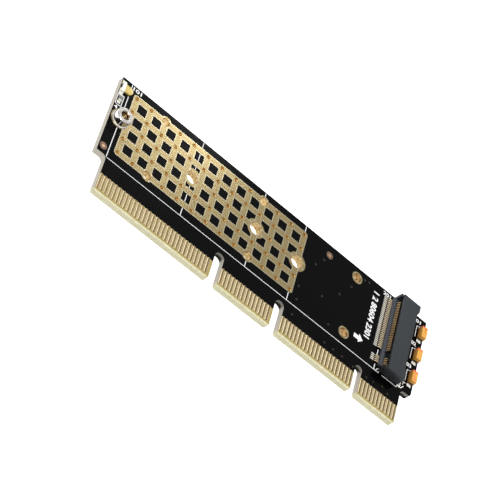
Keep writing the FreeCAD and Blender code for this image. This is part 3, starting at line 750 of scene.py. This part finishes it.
def ink_number(name, numbers, x, y, height, length, turn=0.0):
    """Plain printed numbers. x, y is the lower left corner of the first one as it is read."""
    clear_choice()
    bpy.ops.object.text_add(location=(0, 0, 0))
    text = bpy.context.object
    text.data.body = numbers
    text.data.size = 1.0
    text.data.offset = 0.03
    text.data.extrude = 0.01
    text.data.resolution_u = 3
    bpy.ops.object.convert(target="MESH")
    text = bpy.context.object
    low = Vector(min(point.co[i] for point in text.data.vertices) for i in range(3))
    high = Vector(max(point.co[i] for point in text.data.vertices) for i in range(3))
    wide = length * mm / (high.x - low.x)
    tall = height * mm / (high.y - low.y)
    thick = ink_thick / (high.z - low.z)
    for point in text.data.vertices:
        beside = point.co - low
        point.co = (beside.x * wide, beside.y * tall, beside.z * thick)
    text.rotation_euler = (0, 0, turn)
    text.location = (x * mm, y * mm, face)
    return finish_piece(text, name, ink)


ink_number("ink_drive_lengths", "1 2 80604 2301", 29.0, 13.1, 1.68, length=13.2, turn=-math.pi / 2)
ink_number("ink_lamp_number", "101", -41.75, 14.15, 1.05, length=2.3)
ink_number("ink_resistor_number", "4", -44.5, 6.6, 1.0, length=0.8)
ink_number("ink_socket_number", "20", 31.5, 14.2, 0.95, length=1.7)
for number, y in (("1", 13.85), ("2", 7.45), ("3", 1.05)):
    ink_number("ink_capacitor_number_" + number, "0" + number, 41.7, y, 0.95, length=1.5)


# Standoff
# A turned and nickel-plated brass post, pressed through the hole for the longest drive and
# soldered to its land. Its bore is tapped for the drive's screw.

# Lengths here are in millimetres, like those above
post_x = fixings[0]
bore_radius = 0.85
tapped_radius = 1.02
thread_start = 0.25
thread_height = 0.24
thread_depth = 0.12
thread_step = 0.38
turns = 7
steps_per_turn = 28
bead_radius, bead_thick = 1.95, 0.24
bead_flatness = 0.7
nickel = new_finish(
    "nickel_plate", (0.70, 0.67, 0.63), (0.94, 0.91, 0.87), 1.0, 0.16, 900,
    fine=3, bump=0.12, depth=0.01 * mm, stretch=(1, 1, 6),
)
tree, shader, where, axes = open_up(nickel)
from_axis = add_node(tree, "ShaderNodeMapping", {
    "Vector": where, "Location": (-post_x * mm, -drive_line * mm, 0),
}).outputs["Vector"]
marks = add_node(
    tree, "ShaderNodeTexWave", {"Vector": from_axis, "Scale": 2600.0, "Distortion": 0.6},
    wave_type="RINGS", rings_direction="Z",
).outputs["Fac"]
cut_marks = add_node(tree, "ShaderNodeBump", {
    "Height": marks, "Normal": feeding(shader, "Normal"), "Strength": 0.12, "Distance": 0.01 * mm,
})
on_top = threshold(tree, axes["Z"], 3.5 * mm, 0.03 * mm)
fill(shader, {
    "Normal": cut_marks.outputs["Normal"],
    "Roughness": laid_value(tree, feeding(shader, "Roughness"), 0.46, on_top),
})
# The bore keeps the brass, painted darker than the nickel
levelled = add_node(tree, "ShaderNodeVectorMath", {0: from_axis, 1: (1, 1, 0)}, operation="MULTIPLY")
radius = add_node(
    tree, "ShaderNodeVectorMath", {0: levelled.outputs["Vector"]}, operation="LENGTH"
).outputs["Value"]
brass = laid_over(tree, (0.12, 0.055, 0.02), (0.62, 0.44, 0.22), marks)
paint_over(shader, brass, threshold(tree, radius, tapped_radius * mm, 0.02 * mm, above=False))
paint_node("standoff", nickel)

# The thread is a triangle wound round the bore
clear_choice()
bpy.ops.mesh.primitive_circle_add(vertices=3, fill_type="NOTHING")
thread = bpy.context.object
corners = ((0.0, 0.0), (0.0, thread_height), (-thread_depth, thread_height / 2))
for point, (x, z) in zip(thread.data.vertices, corners):
    point.co = ((bore_radius + x) * mm, 0, (thread_start + z) * mm)
winding = thread.modifiers.new("winding", "SCREW")
winding.screw_offset = thread_step * mm
winding.angle = 2 * math.pi
winding.iterations = turns
winding.steps = steps_per_turn
winding.render_steps = steps_per_turn
winding.use_normal_calculate = True
bpy.ops.object.modifier_apply(modifier="winding")
bpy.ops.object.mode_set(mode="EDIT")
bpy.ops.mesh.select_all(action="SELECT")
bpy.ops.mesh.remove_doubles(threshold=0.001 * mm)
bpy.ops.mesh.normals_make_consistent(inside=False)
bpy.ops.object.mode_set(mode="OBJECT")
thread.location = (post_x * mm, drive_line * mm, 0)
thread_brass = new_finish(
    "thread_brass", (0.20, 0.10, 0.035), (0.66, 0.46, 0.22), 1.0, 0.30, 1400, bump=0.2, depth=0.01 * mm
)
finish_piece(thread, "standoff_thread", thread_brass, smooth=40)

# The solder's bead is the upper half of a flattened ring, a hair above the land
solder = new_finish("solder", (0.88, 0.86, 0.79), (1.0, 0.98, 0.92), 0.22, 0.36, 900, fine=3)
bead_low = copper_top + 0.002 * mm
clear_choice()
bpy.ops.mesh.primitive_torus_add(
    major_segments=48, minor_segments=10, major_radius=bead_radius * mm, minor_radius=bead_thick * mm,
    location=(post_x * mm, drive_line * mm, copper_top),
)
bead = bpy.context.object
bpy.ops.transform.resize(value=(1, 1, bead_flatness))
bpy.ops.object.transform_apply(location=True, rotation=True, scale=True)
bpy.ops.object.mode_set(mode="EDIT")
bpy.ops.mesh.select_all(action="SELECT")
bpy.ops.mesh.bisect(plane_co=(0, 0, bead_low), plane_no=(0, 0, 1), clear_inner=True, use_fill=True)
bpy.ops.object.mode_set(mode="OBJECT")
finish_piece(bead, "standoff_solder", solder, smooth=50)


# Drive socket
# A black glass-filled plastic housing, moulded with a slot for each lower contact, with two rows of
# stamped contacts and two tabs that are soldered to the board. Moulding leaves its edges rounded.

contact_step = 0.5
end_block_start = 9.7
# Places along the card: the lower contacts' joints, where these contacts are painted dark as shade under
# their bend, how far their tin reaches, the lip's end, the roof's start, the tabs and the upper contacts'
# joints
front_joint_x = end_stop - 5.35
bend_shade_start, bend_shade_end = end_stop - 4.95, end_stop - 4.70
tin_end = end_stop - 3.5
lip_end = end_stop - 2.9
roof_start = end_stop - 2.55
tab_x = end_stop + 2.9
rear_joint_x = end_stop + 3.0
socket_black = new_finish(
    "socket_plastic", (0.0195, 0.0225, 0.026), (0.031, 0.0355, 0.041), 0.0, 0.50, 1800, fine=5, bump=0.35
)
tree, shader, where, axes = open_up(socket_black)
along = maths(tree, "ABSOLUTE", maths(tree, "SUBTRACT", axes["Y"], drive_line * mm))
# The lip is grooved across, once for each contact, with the grooves painted as dark bands of shade.
# A wave at scale 1 repeats after two pi over 20.
groove_lines = {"Scale": 2 * math.pi / 20 / (contact_step * mm), "Phase Offset": 1.2}
groove_shade_tone = laid_over(
    tree, (0.010, 0.011, 0.014), (0.085, 0.092, 0.115), stripes(tree, where, "Y", groove_lines)
)
on_lip = threshold(tree, axes["X"], lip_end * mm, 0.02 * mm, above=False)
between_ends = threshold(tree, along, end_block_start * mm, 0.02 * mm, above=False)
paint_over(shader, groove_shade_tone, product(tree, on_lip, between_ends))
# Painted shade: the two end blocks are painted darker in front
shaded_end_blocks = threshold(tree, along, end_block_start * mm, 0.02 * mm)
in_front = threshold(tree, axes["X"], roof_start * mm, 0.02 * mm, above=False)
paint_over(shader, (0.009, 0.010, 0.011), product(tree, shaded_end_blocks, in_front))


def rounded_piece(node, name, width, finish, segments=2, angle=35, smooth=35):
    """Takes the place of a solid of the frame, with its edges rounded as moulding or folding leaves them."""
    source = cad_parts[node]
    copy = source.copy()
    copy.data = source.data.copy()
    copy.parent = None
    copy.matrix_world = Matrix.Identity(4)
    for key in list(copy.keys()):
        del copy[key]
    bpy.context.collection.objects.link(copy)
    clear_choice()
    copy.select_set(True)
    bpy.context.view_layer.objects.active = copy
    bpy.ops.object.mode_set(mode="EDIT")
    bpy.ops.mesh.select_all(action="SELECT")
    bpy.ops.mesh.remove_doubles(threshold=0.0002 * mm)
    bpy.ops.object.mode_set(mode="OBJECT")
    soft = copy.modifiers.new("soft_edges", "BEVEL")
    soft.width = width
    soft.segments = segments
    soft.limit_method = "ANGLE"
    soft.angle_limit = math.radians(angle)
    soft.use_clamp_overlap = True
    bpy.ops.object.modifier_apply(modifier="soft_edges")
    finish_piece(copy, name, finish, smooth=smooth)
    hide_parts(node)


rounded_piece("socket_housing", "socket_shell", 0.04 * mm, socket_black)

# Stamped contacts: gold over nickel inside the mouth, tinned where they are soldered outside it,
# with painted shade under their bend and tan on the short leg behind it
stamped = new_finish(
    "stamped_gold", (0.46, 0.29, 0.13), (0.78, 0.56, 0.30), 1.0, 0.38, 1500, bump=0.15, depth=0.01 * mm
)
tree, shader, where, axes = open_up(stamped)
speck = add_node(tree, "ShaderNodeTexNoise", {"Vector": where, "Scale": 2500.0}).outputs["Fac"]
tinned = laid_over(tree, (0.86, 0.74, 0.54), (0.98, 0.90, 0.74), speck)
leg_tan = laid_over(tree, (0.58, 0.46, 0.29), (0.84, 0.70, 0.48), speck)
outside = threshold(tree, axes["X"], tin_end * mm, 0.1 * mm, above=False)
before_bend = threshold(tree, axes["X"], bend_shade_start * mm, 0.03 * mm)
after_bend = threshold(tree, axes["X"], bend_shade_end * mm, 0.03 * mm)
# Painted shade: the contacts are painted dark under their bend
bend_shade_or_tail = laid_over(tree, tinned, (0.10, 0.08, 0.06), before_bend)
paint_over(shader, laid_over(tree, bend_shade_or_tail, leg_tan, after_bend), outside)
fill(shader, {"Metallic": laid_value(tree, 1.0, 0.25, outside)})
for node in ("socket_lower_contacts", "socket_upper_contacts"):
    paint_node(node, stamped)
tin_tones = ((0.80, 0.79, 0.76), (0.95, 0.94, 0.91))
tin = new_finish("tin_plate", *tin_tones, 1.0, 0.34, 1500, bump=0.2, depth=0.01 * mm)
paint_node("socket_solder_tabs", tin)


def solder_joint(x, y, length, width, rise):
    """A pad with a low mound of solder, raised from a plate."""
    clear_choice()
    pad_thick = 0.02
    bpy.ops.mesh.primitive_cube_add(
        size=1,
        location=(x * mm, y * mm, face + pad_thick / 2 * mm),
        scale=(length * mm, width * mm, pad_thick * mm),
    )
    bpy.ops.object.transform_apply(location=True, rotation=True, scale=True)
    narrow = min(length, width) * mm
    slope = (0.18 * narrow, rise * 0.7 * mm)
    crown = (0.14 * narrow, rise * 0.3 * mm)
    return step_top((slope, crown))


def joints_along(pattern, rows):
    """Copies of a joint, moved along the socket, in place of the joint itself."""
    joints = copies_at(pattern, [(0, y * mm, 0) for y in rows])
    bpy.data.objects.remove(pattern)
    return joints


def pair_of_pads(name, x, y, apart, length, width, rise):
    """Two soldered pads under the ends of a part, each this far from its middle."""
    pads = [solder_joint(x, y + sign * apart, length, width, rise) for sign in (1, -1)]
    finish_piece(join_pieces(pads), name, solder, smooth=40)


# Where the contacts' tails meet the board. Both rows leave out the contacts at the key rib.
lower_rows = [9.0 - contact_step * i for i in range(29)] + [-7.5 - contact_step * i for i in range(4)]
upper_rows = [9.25 - contact_step * i for i in range(29)] + [-7.25 - contact_step * i for i in range(5)]
matt_solder = new_finish(
    "matt_solder", (0.80, 0.77, 0.68), (0.98, 0.96, 0.88), 0.25, 0.45, 1300, fine=4, bump=0.3
)
lower_joint = solder_joint(front_joint_x, drive_line, length=0.9, width=0.24, rise=0.12)
front_joints = joints_along(lower_joint, lower_rows)
upper_joint = solder_joint(rear_joint_x, drive_line, length=1.2, width=0.3, rise=0.1)
rear_joints = joints_along(upper_joint, upper_rows)
finish_piece(join_pieces(front_joints + rear_joints), "socket_contact_solder", matt_solder, smooth=40)
pair_of_pads("socket_tab_solder", tab_x, drive_line, apart=9.9, length=1.4, width=1.5, rise=0.08)


# Moulded capacitors
# Three tantalum capacitors: an orange resin body moulded round the element, with a dark red band at
# its positive end, on two tinned leads folded under it and soldered to pads.

cap_x = 43.6
# Heights above which the leads are painted dark as shade under the body and the resin is smeared,
# and where the band starts
lead_shade_from, smeared_from, band_start = 1.98, 3.05, 1.12
resin = new_finish(
    "capacitor_resin", (0.56, 0.25, 0.02), (0.84, 0.44, 0.09), 0.0, 0.42, 1500,
    fine=4, bump=0.3, stretch=(1, 0.4, 1), spread=0.17,
)
lead_tin = new_finish("capacitor_lead_tin", *tin_tones, 1.0, 0.34, 1500, bump=0.2, depth=0.01 * mm)
tree, shader, where, axes = open_up(lead_tin)
# Painted shade: each lead is painted dark where it leaves the resin, in the gap under the body
paint_over(shader, (0.045, 0.028, 0.018), threshold(tree, axes["Z"], lead_shade_from * mm, 0.14 * mm))
for number, cap_y in enumerate(cap_rows, 1):
    finish = resin.copy()
    finish.name = "capacitor_resin_%d" % number
    tree, shader, where, axes = open_up(finish)
    # Red dye from the band is smeared along the top
    drawn = add_node(tree, "ShaderNodeMapping", {"Vector": where, "Scale": (1.0, 0.3, 1.0)})
    dye = add_node(tree, "ShaderNodeTexNoise", {
        "Vector": drawn.outputs["Vector"], "Scale": 1300.0, "Detail": 2.0,
    })
    streaks = threshold(tree, dye.outputs["Fac"], 0.55, 0.09)
    on_top = threshold(tree, axes["Z"], smeared_from * mm, 0.04 * mm)
    paint_over(shader, (0.82, 0.27, 0.09), product(tree, streaks, on_top))
    on_band = threshold(tree, axes["Y"], (cap_y + band_start) * mm, 0.06 * mm)
    paint_over(shader, (0.74, 0.13, 0.045), on_band)
    rounded_piece(
        "capacitor_%d" % number, "capacitor_body_%d" % number, 0.07 * mm, finish,
        segments=3, angle=8, smooth=25,
    )
    rounded_piece("capacitor_%d_leads" % number, "capacitor_leads_%d" % number, 0.03 * mm, lead_tin)
    pair_of_pads("capacitor_solder_%d" % number, cap_x, cap_y, apart=1.76, length=1.2, width=0.85, rise=0.06)


# Lamp
# A white plastic case with a tinned terminal round each end and a half-round lens of clear resin
# filled with yellow phosphor, which faces along the card.

lamp_x, lamp_y = -44.1, 12.91
white_case = new_finish(
    "lamp_plastic", (0.74, 0.74, 0.70), (0.86, 0.86, 0.83), 0.0, 0.4, 1500, bump=0.15, depth=0.01 * mm
)
rounded_piece("lamp_case", "lamp_shell", 0.06 * mm, white_case)
phosphor = new_finish(
    "lamp_phosphor", (0.52, 0.38, 0.085), (0.70, 0.56, 0.18), 0.0, 0.25, 2200, bump=0.1, depth=0.01 * mm
)
phosphor.node_tree.nodes["Principled BSDF"].inputs["Coat Weight"].default_value = 0.6
rounded_piece("lamp_lens", "lamp_dome", 0.14 * mm, phosphor, segments=4, angle=40, smooth=50)
terminal_metal = new_finish(
    "lamp_terminals", (0.72, 0.68, 0.52), (0.86, 0.83, 0.70), 0.35, 0.35, 1500, bump=0.15, depth=0.01 * mm
)
rounded_piece("lamp_leads", "lamp_terminals", 0.05 * mm, terminal_metal)
pair_of_pads("lamp_solder", lamp_x, lamp_y, apart=1.55, length=0.95, width=0.7, rise=0.05)


# Chip resistor
# A grey glazed film on a white ceramic block, with plated ends that are soldered to two pads.

chip_x, chip_y = -43.87, 9.6
film = new_finish(
    "resistor_film", (0.10, 0.11, 0.10), (0.24, 0.25, 0.23), 0.0, 0.35, 1800, bump=0.2, depth=0.01 * mm
)
rounded_piece("resistor_block", "resistor_body", 0.03 * mm, film)
rounded_piece("resistor_ends", "resistor_terminals", 0.04 * mm, terminal_metal)
pair_of_pads("resistor_solder", chip_x, chip_y, apart=0.95, length=0.85, width=0.65, rise=0.06)
